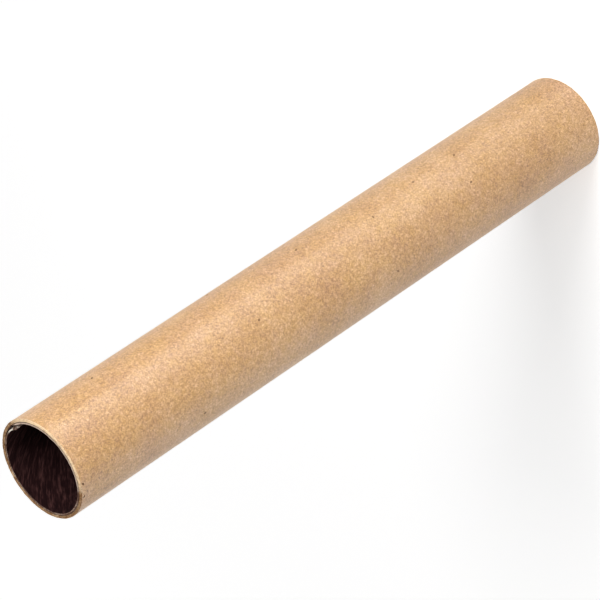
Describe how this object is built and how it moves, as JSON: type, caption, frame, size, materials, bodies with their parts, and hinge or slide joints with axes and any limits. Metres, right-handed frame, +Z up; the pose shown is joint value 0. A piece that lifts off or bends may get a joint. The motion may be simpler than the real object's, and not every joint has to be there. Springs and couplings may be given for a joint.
{
  "type": "cardboard craft tube",
  "caption": "Straight wound cardboard tube of kraft board, open at both square-cut ends, standing on end.",
  "frame": {"origin": "on the tube's axis, in the plane of the cut end it stands on", "axes": "+Z up along the tube's axis, towards the end with the loose liner corner"},
  "size_m": [0.0426, 0.0426, 0.305],
  "materials": {
    "kraft_board": "matte"
  },
  "bodies": {
    "root": {"tube": "kraft_board"}
  },
  "joints": []
}
